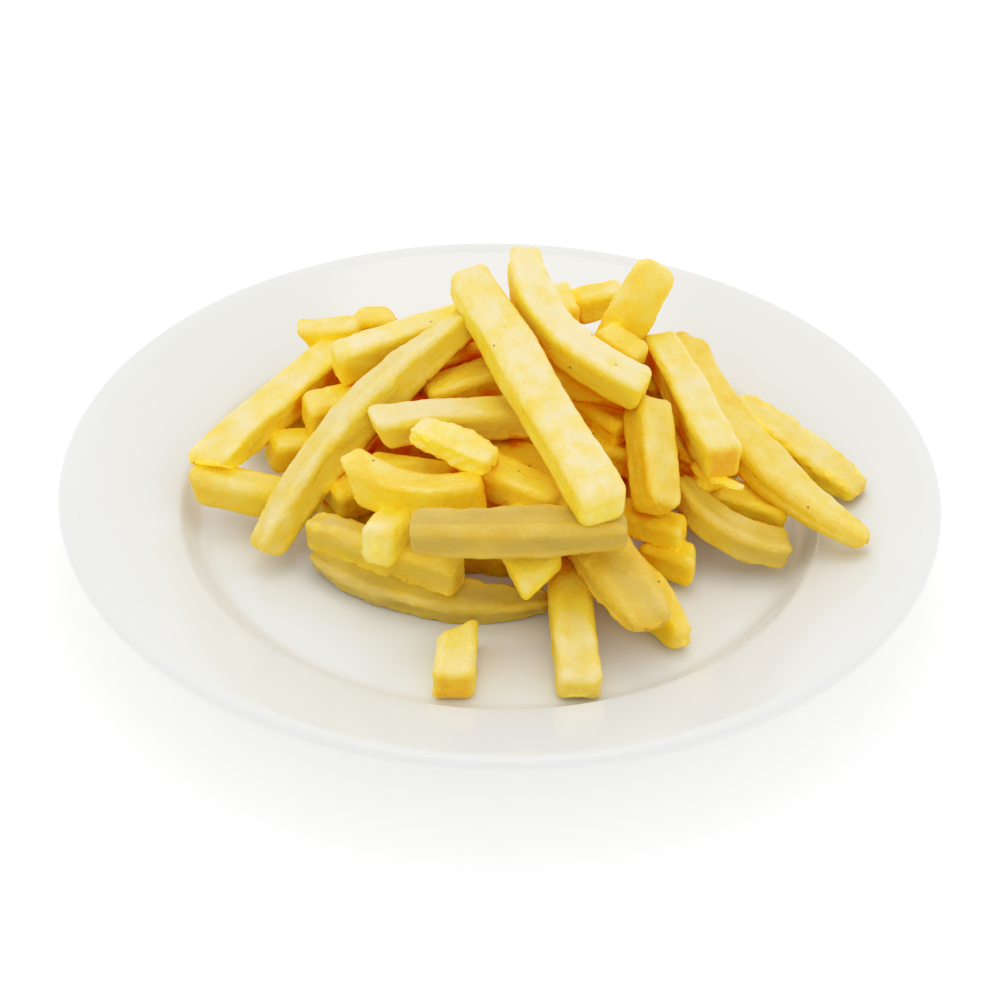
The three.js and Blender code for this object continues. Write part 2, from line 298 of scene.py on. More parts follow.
def section(arc_steps, face_steps):
    """Points of a rounded square. Each is (corner x, corner y, arc x, arc y, edge, turn): edge
    is 1 on the arcs and falls to 0 between them, and turn counts the corners from 0 to 4."""
    rows = []
    for quarter in range(4):
        turn = quarter * math.pi / 2
        corner = (round(math.sqrt(2) * math.cos(turn + math.pi / 4)),
                  round(math.sqrt(2) * math.sin(turn + math.pi / 4)))
        following = (-corner[1], corner[0])
        for i in range(arc_steps + 1):
            angle = turn + i / arc_steps * math.pi / 2
            rows.append((*corner, math.cos(angle), math.sin(angle), 1, quarter))
        for i in range(1, face_steps):
            share = i / face_steps
            mix = [corner[k] + (following[k] - corner[k]) * share for k in (0, 1)]
            angle = turn + math.pi / 2
            near_edge = abs(2 * share - 1) ** EDGE_FADE
            rows.append((*mix, math.cos(angle), math.sin(angle), near_edge, quarter + share))
    return np.array(rows)


def narrowing(distance):
    """1 at an end, 0 past the reach of its tip."""
    return np.maximum(0, 1 - distance / TIP_REACH) ** TIP_SHARPNESS


def unit(vectors):
    """The vectors at a length of 1."""
    return vectors / np.linalg.norm(vectors, axis=-1, keepdims=True)


def stations(length, end_round, spacing):
    """The rings of a fry from end to end: how far along it each lies, how far it is set in from
    the full section, and its share of what is left. The last few cover the flat cut face."""
    steps = max(FEWEST_STEPS, round((length - 2 * end_round) / spacing))
    body = np.linspace(end_round, length - end_round, steps + 1)
    arc = np.linspace(0, math.pi / 2, END_ROUNDING_RINGS + 1)[1:]
    round_off = end_round * (1 - np.cos(arc))
    round_in = end_round * np.sin(arc)
    cut = np.array(CUT_FACE_RINGS)
    position = np.concatenate([
        np.zeros(len(cut)), end_round - round_in[::-1], body,
        length - end_round + round_in, np.full(len(cut), length),
    ])
    inset = np.concatenate([
        np.full(len(cut), end_round), round_off[::-1], np.zeros(len(body)),
        round_off, np.full(len(cut), end_round),
    ])
    shrink = np.concatenate([cut[::-1], np.ones(len(arc) + len(body) + len(arc)), cut])
    return position, inset, shrink


def middle_line(f, start, run, on_line, s, rng):
    """The middle of each ring, and the directions to its side, up from it and onwards."""
    along = unit(run)
    right = unit(np.cross(along, (0, 0, 1)))
    above = np.cross(right, along)
    bow = f.get("bow", (0, 0))
    bend = right * bow[0] + above * bow[1]
    heading = unit(run + bend * (4 - 8 * s)[:, None])
    angle = np.radians(f.get("roll", 0) + rng.uniform(-TWIST, TWIST) * (s - 0.5))[:, None]
    rolled = right * np.cos(angle) + np.cross(along, right) * np.sin(angle)
    side = unit(rolled - heading * (heading * rolled).sum(axis=1)[:, None])
    up = np.cross(side, heading)
    middle = start + run * s[:, None] + bend * (4 * s * (1 - s))[:, None]
    middle += side * waves(on_line, rng, **SWAY)[:, None]
    middle += up * waves(on_line, rng, **LIFT)[:, None]
    return middle, side, up, heading


def crust_relief(place, edge, rough, rng):
    """How far each point of the crust stands out."""
    swell = waves(place, rng, **UNDULATION) + rough * waves(place, rng, **LUMPS)
    swell += rough * waves(place, rng, **CRUMB)
    swell += waves(place, rng, **FIBRE_RIDGES)
    sinking = (1 + waves(place, rng, **HOLLOW_CHANGE)).clip(0, HOLLOW_CHANGE_MOST)
    swell -= HOLLOW * (1 - edge) * sinking
    wear = (waves(place, rng, **WORN_PLACES) - WORN_FROM).clip(0, 1)
    nicks = (waves(place, rng, **NICKED_PLACES) - NICKED_FROM).clip(0, 1)
    return swell - (EDGE_WEAR * wear + EDGE_NICKS * rough * nicks) * edge


def fry_mesh(f, rng, spacing, outline):
    """Points, faces, and for each point its place in the fry, its tone and its darker tan,
    partly painted shade.
    """
    start, end = (np.array(f[k], float) - (0, 0, SETTLE) for k in ("start", "end"))
    run = end - start
    length = np.linalg.norm(run)
    soft = f.get("soft", 1)
    smaller_side = min(f["wide"], f["thick"])
    end_round = min(FRY_END_ROUNDING * soft, FRY_END_ROUNDING_MOST * smaller_side)
    position, inset, shrink = stations(length, end_round, spacing)
    s = position / length
    on_line = np.column_stack([position, 0 * position, 0 * position])
    middle, side, up, heading = middle_line(f, start, run, on_line, s, rng)

    # The size of each ring, and how round its corners are.
    near = narrowing(s), narrowing(1 - s)
    tips = f.get("tip_a", (1, 1)), f.get("tip_b", (1, 1))
    half = []
    for k, size in enumerate((f["wide"], f["thick"])):
        taper = 1 + (tips[0][k] - 1) * near[0] + (tips[1][k] - 1) * near[1]
        half.append(size / 2 * taper * (1 + waves(on_line, rng, **GIRTH)))
    wide, thick = half
    small = np.minimum(wide, thick)
    corner = min(FRY_CORNER * soft, FRY_CORNER_MOST) * small
    corner *= (1 + waves(on_line, rng, **CORNER_CHANGE)).clip(0, CORNER_CHANGE_MOST)
    reach = np.maximum(small - inset, CORNER_LEFT_AT_CUT * small) / small
    four_edges = rng.uniform(*EDGE_DIFFERENCE, 4)
    edge_rounding = np.interp(outline[:, 5], np.arange(5), [*four_edges, four_edges[0]])

    # Every point of every ring, across the fry and up.
    corner_x, corner_y, arc_x, arc_y, edge = (outline[:, k][None, :] for k in range(5))
    r = (corner * reach)[:, None] * edge_rounding
    r = np.minimum(r, FRY_CORNER_MOST * (small * reach)[:, None])
    x = (corner_x * ((wide - inset)[:, None] - r) + arc_x * r) * shrink[:, None]
    y = (corner_y * ((thick - inset)[:, None] - r) + arc_y * r) * shrink[:, None]
    uneven_cuts = rng.uniform(-END_SLANT, END_SLANT, (2, 2))
    cut_a = f.get("cut_a", (0, 0)) + uneven_cuts[0]
    cut_b = f.get("cut_b", (0, 0)) + uneven_cuts[1]
    cut = np.where((s < 0.5)[:, None], cut_a, cut_b)
    fade = np.clip(1 - 2 * np.minimum(s, 1 - s), 0, 1)[:, None]
    slant = (cut[:, :1] * x + cut[:, 1:] * y) * fade

    # The crust, which stands out from the faces, and at a cut end from the cut.
    place = np.stack([position[:, None] + slant, x, y], -1).reshape(-1, 3)
    edge = np.broadcast_to(edge, x.shape).reshape(-1)
    swell = crust_relief(place, edge, f.get("rough", 1), rng).reshape(x.shape)
    if "groove" in f:
        depth, across = f["groove"]
        off_line = (x / wide[:, None] - across) / GROOVE_WIDTH
        swell -= depth * np.exp(-off_line ** 2) * (arc_y > UPPER_FACE)
    on_cut = (shrink < 1)[:, None]
    end_sign = np.where(s < 0.5, -1.0, 1.0)[:, None]
    x = x + np.where(on_cut, 0, arc_x) * swell
    y = y + np.where(on_cut, 0, arc_y) * swell
    h = slant + np.where(on_cut, end_sign, 0) * swell * CUT_RELIEF
    points = (middle[:, None, :] + side[:, None, :] * x[..., None]
              + up[:, None, :] * y[..., None] + heading[:, None, :] * h[..., None])
    points = points.reshape(-1, 3)

    # A point in the middle of each cut, and nothing dips into the plate.
    n = len(outline)
    points = np.vstack([points, points[:n].mean(axis=0), points[-n:].mean(axis=0)])
    place = np.vstack([place, place[:n].mean(axis=0), place[-n:].mean(axis=0)])
    radius = np.hypot(points[:, 0], points[:, 1])
    floor = np.interp(radius, PLATE_TOP[:, 0], PLATE_TOP[:, 1]) + REST_GAP
    points[:, 2] = np.maximum(points[:, 2], floor)

    # Tone: the crust is most golden on the long edges, near the ends and on one side.
    from_end = np.minimum(place[:, 0], length - place[:, 0]).clip(0)
    edge = np.append(edge, [0, 0])
    tone = np.interp(place[:, 0] / length, (0, 1), np.broadcast_to(f.get("tone", USUAL_TONE), 2))
    tone += GOLDEN_EDGES * edge + GOLDEN_ENDS * np.exp(-from_end / GOLDEN_END_REACH)
    browned = np.where(s < 0.5, f.get("brown_a", 0), f.get("brown_b", 0)) * inset / end_round
    tone += np.append(np.repeat(browned, n), [browned[0], browned[-1]])
    golden_side = rng.uniform(0, 2 * math.pi)
    facing = (arc_x * math.cos(golden_side) + arc_y * math.sin(golden_side)).clip(0)
    tone += GOLDEN_SIDE * np.append(np.broadcast_to(facing, x.shape), [0, 0])
    tone += waves(place, rng, **GOLDEN_PLACES) + waves(place, rng, **GOLDEN_SPOTS)
    # Darker tan, partly painted shade: the most of it is given to fries lying in the heap's
    # shade.
    blotches = (TAN_SHADE_SHARE + waves(place, rng, **TAN_SHADE_PLACES)).clip(0, 1)
    dull = f.get("dull", 0) * blotches * (1 - TAN_SHADE_LOST_ON_EDGES * edge)

    rings = len(position)
    faces = ring_faces(rings, n, first_ring=0, first_pole=rings * n, last_pole=rings * n + 1)
    return points, faces, place, tone, dull


def set_attribute(piece, name, kind, values):
    """Writes a value or a vector to each point of a piece, for its material to read."""
    key = "vector" if kind == "FLOAT_VECTOR" else "value"
    made = piece.data.attributes.new(name, kind, "POINT")
    made.data.foreach_set(key, np.asarray(values, np.float32).ravel())


PATTERN_SHIFT = 500  # most that a fry's patterns are moved, so that no two fries are alike


def fries_piece(name, rows, seed, material, spacing=0.9, arc_steps=5, face_steps=9):
    """One joined mesh of loose fries. Each point keeps its place in its fry, for the patterns
    of the crust, how golden it is, and how much darker and tan, partly as painted shade."""
    points, faces, places, tones, dulls = [], [], [], [], []
    count = 0
    outline = section(arc_steps, face_steps)
    for i, row in enumerate(rows):
        rng = np.random.default_rng(seed * 100 + i)
        p, f, place, tone, dull = fry_mesh(row, rng, spacing, outline)
        faces += [tuple(v + count for v in face) for face in f]
        points.append(p)
        places.append(place + rng.uniform(-PATTERN_SHIFT, PATTERN_SHIFT, 3))
        tones.append(tone)
        dulls.append(dull)
        count += len(p)
    piece = new_piece(name, np.vstack(points), faces, smooth_angle=60)
    set_attribute(piece, "place", "FLOAT_VECTOR", np.vstack(places))
    set_attribute(piece, "tone", "FLOAT", np.concatenate(tones))
    set_attribute(piece, "dull", "FLOAT", np.concatenate(dulls))
    piece.data.materials.append(material)
    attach(piece, "root")
    return piece


CLOUD_SIZE = 6.0  # golden clouds of the crust
STREAK_SIZE = 1.6  # fine streaks along the fry
STREAK_SQUEEZE = (0.16, 1, 1)
GRAIN_SIZE = 0.9
EYE_SPACING = 9.0
MOTTLE = 1.1  # how much the clouds change the tone
STREAKS = 0.24
FLECKS = 0.4
CRUST_SHADES = [
    (0.00, "#fce0a4"), (0.25, "#fcd87b"), (0.50, "#fccf53"),
    (0.75, "#f9c134"), (1.00, "#f2ad1f"),
]
# Painted shade: the orange that the crust is tinted towards deep in the heap.
PAINTED_SHADE_TINT = "#fffc6a"
EYE_BROWN = "#8c4a0a"
# the darker tan, partly painted shade
TAN_AND_SHADE_COLOUR = "#bb9a3a"
INNERMOST = 60.0  # power of the depth that leaves only the narrowest gaps
DEEP_SHADE_STRENGTH = 4.0  # how much deeper the painted shade makes the colour there
SHADE_ONSET = 2.0  # how soon the painted shade sets in on the way into the heap
GLOW_REACH = 0.0045  # how far light spreads inside the potato, in metres


def fried_potato():
    """Fried potato: light shines some millimetres into it, so its edges glow. Its hollows deep
    in the heap are painted a darker orange, as shade. The thin crust is pale yellow, golden in
    clouds, and softly matt with oil. A duller one is darker and tan, partly as painted shade.
    Deep in the heap the painted shade also takes away its sheen."""
    material, tree, surface = new_material("fried_potato")
    place = add(tree, "Attribute", {}, attribute_name="place").outputs["Vector"]
    tone = add(tree, "Attribute", {}, attribute_name="tone").outputs["Fac"]
    dull = add(tree, "Attribute", {}, attribute_name="dull").outputs["Fac"]
    depth = add(tree, "Attribute", {}, attribute_name="depth").outputs["Fac"]

    # The crust: its tone, changed by clouds, streaks along the fibres and fine grain.
    clouds = add(tree, "TexNoise", {"Vector": place, "Scale": 1 / CLOUD_SIZE, "Detail": 3})
    along = add(tree, "VectorMath", {0: place, 1: STREAK_SQUEEZE}, operation="MULTIPLY")
    fibres = add(tree, "TexNoise", {
        "Vector": along.outputs["Vector"], "Scale": 1 / STREAK_SIZE, "Detail": 2,
    })
    grains = add(tree, "TexNoise", {"Vector": place, "Scale": 1 / GRAIN_SIZE, "Detail": 2})
    mottle = add(tree, "Math", {0: clouds.outputs["Fac"], 1: MOTTLE, 2: -MOTTLE / 2},
                 operation="MULTIPLY_ADD")
    streaks = add(tree, "Math", {0: fibres.outputs["Fac"], 1: STREAKS, 2: -STREAKS / 2},
                  operation="MULTIPLY_ADD")
    flecks = add(tree, "Math", {0: grains.outputs["Fac"], 1: FLECKS, 2: -FLECKS / 2},
                 operation="MULTIPLY_ADD")
    clouded = add(tree, "Math", {0: tone, 1: mottle.outputs[0]}, operation="ADD")
    fine = add(tree, "Math", {0: streaks.outputs[0], 1: flecks.outputs[0]}, operation="ADD")
    golden = add(tree, "Math", {0: clouded.outputs[0], 1: fine.outputs[0]}, operation="ADD")
    crust = add(tree, "ValToRGB", {"Fac": golden.outputs[0]})
    ramp = crust.color_ramp.elements
    for i, (position, shade) in enumerate(CRUST_SHADES):
        stop = ramp[i] if i < 2 else ramp.new(position)
        stop.position = position
        stop.color = linear(shade)

    # Painted shade: inside the heap the colour is deeper and more orange, as the shade between
    # the fries.
    innermost = add(tree, "Math", {0: depth, 1: INNERMOST}, operation="POWER")
    deep_shade_gamma = add(tree, "Math", {0: innermost.outputs[0], 1: DEEP_SHADE_STRENGTH, 2: 1.0},
                   operation="MULTIPLY_ADD")
    deep_shaded = add(tree, "Gamma", {"Color": crust.outputs["Color"], "Gamma": deep_shade_gamma.outputs[0]})
    shade_amount = add(tree, "Math", {0: depth, 1: SHADE_ONSET}, operation="MULTIPLY", use_clamp=True)
    painted_shade = add(tree, "Mix", {
        "Factor": shade_amount.outputs[0], "A": deep_shaded.outputs["Color"], "B": linear(PAINTED_SHADE_TINT),
    }, data_type="RGBA", blend_type="MULTIPLY")

    # Small dark eyes of the potato, and a darker tan, partly painted shade on fries in the
    # heap's shade.
    eyes = add(tree, "TexVoronoi", {"Vector": place, "Scale": 1 / EYE_SPACING})
    eye = add(tree, "MapRange", {
        "Value": eyes.outputs["Distance"], "From Min": 0.03, "From Max": 0.06,
        "To Min": 0.8, "To Max": 0.0,
    })
    spotted = add(tree, "Mix", {
        "Factor": eye.outputs["Result"], "A": painted_shade.outputs["Result"], "B": linear(EYE_BROWN),
    }, data_type="RGBA")
    tanned_and_shaded = add(tree, "Mix", {
        "Factor": dull, "A": spotted.outputs["Result"], "B": linear(TAN_AND_SHADE_COLOUR),
    }, data_type="RGBA")

    # Its grain to the touch, its gloss, and the light inside it.
    grain_height = add(tree, "Math", {0: grains.outputs["Fac"], 1: fibres.outputs["Fac"]},
                       operation="ADD")
    bump = add(tree, "Bump", {
        "Height": grain_height.outputs[0], "Strength": 0.8, "Distance": 0.0005,
    })
    gloss = add(tree, "MapRange", {
        "Value": clouds.outputs["Fac"], "From Min": 0.35, "From Max": 0.65,
        "To Min": 0.36, "To Max": 0.55,
    })
    # Painted shade in the gloss as well: less sheen where the depth mark says little light
    # reaches.
    sheen = add(tree, "MapRange", {
        "Value": depth, "From Min": 0.4, "From Max": 0.9, "To Min": 0.5, "To Max": 0.05,
    })
    inner_glow = add(tree, "MapRange", {
        "Value": depth, "From Min": 0.7, "From Max": 1.0, "To Min": 1.0, "To Max": 0.2,
    })
    shader = add(tree, "BsdfPrincipled", {
        "Base Color": tanned_and_shaded.outputs["Result"],
        "Specular IOR Level": sheen.outputs["Result"],
        "Roughness": gloss.outputs["Result"],
        "IOR": 1.42,
        "Subsurface Weight": inner_glow.outputs["Result"],
        "Subsurface Radius": (0.8, 0.8, 0.42),
        "Subsurface Scale": GLOW_REACH,
        "Normal": bump.outputs["Normal"],
    }, subsurface_method="BURLEY")
    tree.links.new(shader.outputs["BSDF"], surface)
    return material


PLATE_TOP = upper_profile()
potato = fried_potato()

front = fries_piece("fries_front", [
    fry((20.8, -80.5, 11.6), (18.4, -36, 18.5), 11, 8.5, tone=0.1, dull=0.12),
    fry((-50, -31, 12), (13.5, -46, 11.5), 10.5, 8,
        bow=(7, 0), tip_a=(0.3, 0.6), tip_b=(0.4, 0.7), roll=18, rough=2.5,
        tone=(0.0, 0.2), dull=1.0),
    fry((-50, -27, 19), (-9.8, -47.6, 20), 8.5, 10, tip_a=(0.9, 0.8), rough=2.5,
        tone=0.2, dull=0.65),
    fry((47.5, -61, 11.7), (22, -12, 13), 11, 10, tip_a=(0.5, 0.7), tone=0.35),
    fry((39, -67, 21), (17, -26, 30), 16, 10,
        tip_a=(0.75, 0.55), soft=1.7, rough=2.5, tone=(0.5, 0.55), dull=0.7),
    fry((11, -56.5, 26), (2, -34, 30.5), 14, 8.5,
        tip_a=(0.9, 0.6), cut_a=(0.4, 0), roll=-14, tone=0.15),
    fry((-31, -46, 27), (-26.5, -32, 25.5), 10, 11, tone=0.05),
    fry((-22, -52.5, 38), (32, -51, 38), 11, 10,
        tip_a=(0.85, 0.9), tip_b=(0.6, 0.8), groove=(0.5, 0.3),
        tone=(0.45, 0.35), dull=1.0),
    fry((-38, -23, 34), (-4, -33, 36), 9, 11, bow=(4, -2), cut_a=(0, -0.9), tone=0.35),
    fry((-35.5, -16, 29.3), (-12, -20.5, 29.3), 10, 10, tone=0.3),
    fry((-34, -9, 39.5), (8, -3, 40), 11, 9, cut_a=(0.3, -0.3), tone=-0.1, dull=0.15),
    fry((-23, -17, 45), (-1.5, -29.5, 42.5), 9.5, 6,
        tip_a=(0.8, 0.8), tip_b=(0.8, 0.8), tone=0.2, rough=3.5),
    fry((-5, -23, 35), (17, -36, 35), 11, 10, tone=0.25),
    fry((-6, -4, 29), (18, -20, 30), 11, 10, tone=0.25),
], seed=1, material=potato)
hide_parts("fries_heap")

# ---- Fries on the left ----
# The same cut. One of them leans down over the others to the plate's floor, and the two
# outermost ones reach over the rim.

left = fries_piece("fries_left", [
    fry((-83.5, -8, 20), (-58, -12.5, 16.5), 10, 11, cut_a=(0, -0.45), soft=1.3,
        tone=0.35, brown_a=0.15, dull=0.15),
    fry((-80, -9, 26), (-47, 40, 32), 11.5, 10,
        tip_a=(1, 0.4), cut_a=(0.3, 0), tone=0.15),
    fry((-62.5, -31, 13.5), (-9, 22, 54), 12, 11,
        bow=(-5, 2), tip_a=(0.65, 0.75), tip_b=(0.4, 0.6), roll=-22,
        tone=(0.2, 0), rough=1.5, dull=0.3),
    fry((-55, 10, 29.5), (-36, 19, 30), 11, 10, tone=0.25),
    fry((-64.5, 2.5, 22), (-46, 9, 21), 10.5, 10, tone=0.25),
    fry((-48, -3, 22), (-38, -20, 21), 11, 10, tone=0.3),
    fry((-58, 44, 34), (-42, 43, 36), 9, 9, cut_a=(0.2, -0.7), tone=0.35),
    fry((-45.5, 56.5, 31), (-32, 58, 31), 11, 8,
        tip_a=(0.7, 0.6), tip_b=(0.7, 0.6), soft=1.6, tone=0.35),
    fry((-47, 21, 39.3), (-9, 37, 45), 11, 11.5, tip_b=(1, 0.85), tone=0.1),
    fry((-21, 9, 37), (2, 16, 41), 11, 10, tone=0.25),
    fry((-24, 26, 34), (4, 42, 36), 11, 9, tone=0.2),
], seed=2, material=potato)
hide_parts("fries_heap")

# ---- Fries on top ----
# The same cut, the longest of the heap. They cross on top of it, and a few ends stand up.

top = fries_piece("fries_top", [
    fry((26, -53, 46), (-10.8, 35, 60.4), 13, 11, tip_b=(0.9, 0.8), cut_b=(0.3, 0), soft=1.3,
        tone=0.08, brown_a=-0.15, rough=0.5),
    fry((5.6, 42, 64), (38, -4.5, 50), 11, 10, bow=(9.5, 0), tip_a=(0.8, 0.9),
        tone=0, brown_b=0.3, rough=0.6),
    fry((44, 44, 61), (29, 31, 35), 10.5, 13.5,
        tip_a=(0.85, 0.85), tip_b=(0.75, 0.8), soft=1.8, roll=25,
        tone=(0.25, 0.5), rough=1.5),
    fry((15.5, 65, 39), (18.5, 44, 41), 9, 8, tone=0.2),
    fry((20.5, 59.5, 36.5), (35.5, 64, 38.5), 9, 9, tone=0.15),
    fry((27, 29, 45.5), (38.5, 21, 42.5), 9.5, 8, tone=0.3),
    fry((12, 15, 43), (38, 4, 43), 11, 10, tone=0.25),
    fry((12, -2, 31), (40, -8, 29), 11, 9, tone=0.35),
    fry((18, 16, 34), (34, -6, 36), 10, 9, tone=0.35),
], seed=3, material=potato)
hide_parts("fries_heap")

# ---- Fries on the right ----
# The same cut. Two long ones run out over the rim, and a thin flake has come off one of them.

right = fries_piece("fries_right", [
    fry((44.3, 37, 38.5), (59, -20, 37.5), 11, 11,
        tip_a=(0.85, 0.9), tone=0.1, brown_b=0.9, rough=0.6, dull=0.1),
    fry((54.5, 48.5, 33), (97, -32.5, 22.5), 14.5, 9,
        bow=(9, -1), tip_a=(0.7, 0.85), tip_b=(0.45, 0.55), cut_a=(-0.5, 0),
        roll=-10, soft=1.4, tone=(0.5, 0.2), dull=0.2, groove=(0.4, 0.1)),
    fry((66.5, 23.5, 28), (99, -7.5, 20), 12, 7,
        tip_a=(0.7, 0.8), tip_b=(0.7, 0.6), tone=0.3, rough=3, dull=0.25),
    fry((47.7, -12.5, 27), (77.5, -25.5, 14), 10, 8,
        bow=(6, -1), tip_a=(0.6, 0.8), groove=(0.6, -0.1), tone=0.3, dull=0.65),
    fry((38.5, -1, 43.5), (41, -32, 31), 11, 10,
        tip_a=(0.95, 1), roll=-30, tone=0.4, brown_b=0.25, dull=0.25),
    fry((49, -29, 20.5), (32, -22, 22), 9, 7.5, tone=0.35),
    fry((52, -33, 13.5), (39, -26, 13), 10, 9, cut_a=(0.3, 0), tone=0.3),
    fry((45.5, 8, 29), (57, -15.5, 28), 9, 8, tone=0.25, rough=4),
    fry((56, -18.5, 32.1), (64.5, -21.8, 31.4), 3, 1.7,
        bow=(0.5, 0), tip_b=(0.5, 0.5), soft=1.5, tone=0.05, rough=2, dull=0.3),
    fry((47, -5, 20.5), (78, -14, 16), 11, 9, tone=0.3),
], seed=4, material=potato)
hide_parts("fries_heap")

# ---- Fries inside the heap ----
# The same cut, lying layer upon layer under the others. Lying deep, they get more of the
# painted shade of the heap's depth, so they show a little more golden.

inside = fries_piece("fries_inside", [
    fry((-42, 10, 12), (-2, 22, 12), 11, 10),
    fry((-30, -8, 12), (8, 2, 12), 11, 10),
    fry((0, 36, 12), (36, 28, 12), 11, 10),
    fry((12, 6, 12), (54, 14, 12), 11, 10),
    fry((-44, 36, 12), (-8, 40, 12), 11, 10),
    fry((-20, -4, 22), (-14, 44, 22.5), 11, 10),
    fry((28, -2, 22), (36, 36, 22), 11, 10),
    fry((-6, 18, 32.5), (26, 30, 33), 11, 10),
    fry((-14, 29, 50), (12, 26, 52), 11, 9),
    fry((17, 31, 41), (34, 19, 40), 10, 9),
    fry((-56, 14, 12), (-42, -14, 12), 11, 10),
    fry((-36, -8, 20), (-2, -15, 20), 10, 9),
    fry((-4, 12, 22.5), (22, -4, 22.5), 11, 10),
    fry((16, -8, 12), (6, -34, 12), 10, 10),
    fry((-30, -24, 12), (2, -26, 12), 10, 10),
    fry((-4, 26, 43), (3, 16, 44), 9, 9),
], seed=5, material=potato, spacing=1.3, arc_steps=4, face_steps=6)
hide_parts("fries_heap")

# ---- Fries on the far side ----
# The same cut, slid down to the plate's floor at the back of the heap.

far_side = fries_piece("fries_far_side", [
    fry((-52, 50, 12.5), (-12, 66, 12), 11, 10),
    fry((-4, 73, 12), (40, 64, 12), 11, 10),
    fry((50, 56, 12.5), (70, 24, 13), 11, 10),
    fry((-74, 22, 16.5), (-56, 34, 14), 11, 10),
    fry((-48, 56, 22), (-4, 50, 23), 11, 10),
    fry((2, 66, 21), (14, 28, 23), 11, 10),
    fry((26, 56, 21.5), (55, 35.5, 22), 11, 10),
    fry((-62, 42, 17), (-32, 28, 22), 11, 10),
    fry((30, 42, 30), (48, 26, 28), 11, 10),
    fry((-14, 58, 32), (14, 44, 33), 11, 10, roll=8),
    fry((-14, 48, 12), (18, 52, 12), 10, 9),
    fry((20, 46, 12.5), (52, 42, 12.5), 11, 10),
    fry((56, 36, 19), (62, 4, 19), 11, 10),
    fry((-34, 44, 32), (-20, 36, 32), 10, 9),
], seed=6, material=potato)
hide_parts("fries_heap")

# ---- Core of the heap ----
# The imported middle of the heap, where the fries are pressed together into one mass.
# It is a low lumpy dome of the same potato, toned deep golden as painted shade, for it shows
# only in the gaps between the fries.

CORE_CENTRE = (-2.0, 7.0)
CORE_RADII = (44.0, 38.0)
CORE_HEIGHT = 27.0
CORE_BASE = 6.6
CORE_LUMPS = dict(height=0.03, length=12)  # share of its size
CORE_RINGS = 26
CORE_SEGMENTS = 96
# painted shade: deep golden, for the core shows only in the gaps
CORE_SHADE_TONE = 0.9


def core_mesh(rng):
    """Points and faces of the dome, closed below by a flat fan."""
    points = [(0, 0, CORE_HEIGHT)]
    for tilt in np.linspace(0, math.pi / 2, CORE_RINGS + 1)[1:]:
        for a in np.arange(CORE_SEGMENTS) * 2 * math.pi / CORE_SEGMENTS:
            points.append((CORE_RADII[0] * math.sin(tilt) * math.cos(a),
                           CORE_RADII[1] * math.sin(tilt) * math.sin(a),
                           CORE_HEIGHT * math.cos(tilt)))
    points = np.array(points)
    points *= (1 + waves(points, rng, **CORE_LUMPS))[:, None]
    points = np.vstack([points, (0, 0, 0)])
    faces = ring_faces(CORE_RINGS, CORE_SEGMENTS,
                       first_ring=1, first_pole=0, last_pole=len(points) - 1)
    return points + (*CORE_CENTRE, CORE_BASE), faces


core_points, core_faces = core_mesh(np.random.default_rng(7))
core = new_piece("heap_core", core_points, core_faces, smooth_angle=60)
set_attribute(core, "place", "FLOAT_VECTOR", core_points)
set_attribute(core, "tone", "FLOAT", np.full(len(core_points), CORE_SHADE_TONE))
core.data.materials.append(potato)
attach(core, "root")
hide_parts("fries_heap")

# ---- Loose fry end ----
# A short end that lies apart on the plate's floor, cut square in front and slanting behind.

loose = fries_piece("short_fry_end", [
    fry((-10.7, -81, 12.2), (-9.8, -62, 12.2), 10, 10,
        cut_b=(0.9, 0), tone=0.15, brown_a=0.5),
], seed=8, material=potato, spacing=0.6)
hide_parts("loose_fry_end")

# ---- Painted shade in the depth of the heap ----
# Where fries lie close together, little light reaches between them, and that shade is painted
# into the crust's colour: a deep orange there. Faces that look up into the open are the palest.

SHADE_CELL = 2.0  # size of the cells in which the crowd of fries is looked up
SHADE_MARGIN = 3  # empty cells round it
SHADE_REACH = 46.0
SHADE_START = 2.5  # nearest that another fry is looked for
SHADE_LIFT = 1.6  # how far above the crust the search starts
SHADE_DIRECTIONS = 30
LIGHT_FROM_ABOVE = 0.6  # how much more light comes from straight up than from level
LIGHT_FROM_BELOW = 0.55
CROWDING = 1.1  # how soon fries in the way keep the light off
OPEN_FACE_LIGHT = 0.32  # what an open face gets, against the number of directions
DEPTH_CURVE = 1.2


def even_directions(count):
    """Unit vectors spread evenly over a sphere."""
    i = np.arange(count)
    z = 1 - (2 * i + 1) / count
    turn = i * math.pi * (3 - math.sqrt(5))
    ring = np.sqrt(1 - z ** 2)
    return np.column_stack([ring * np.cos(turn), ring * np.sin(turn), z])


def mesh_array(piece, what):
    """The places of a piece's points, "co", or their normals, "vector"."""
    values = np.empty(len(piece.data.vertices) * 3, np.float32)
    source = piece.data.vertices if what == "co" else piece.data.vertex_normals
    source.foreach_get(what, values)
    return values.reshape(-1, 3).astype(float)


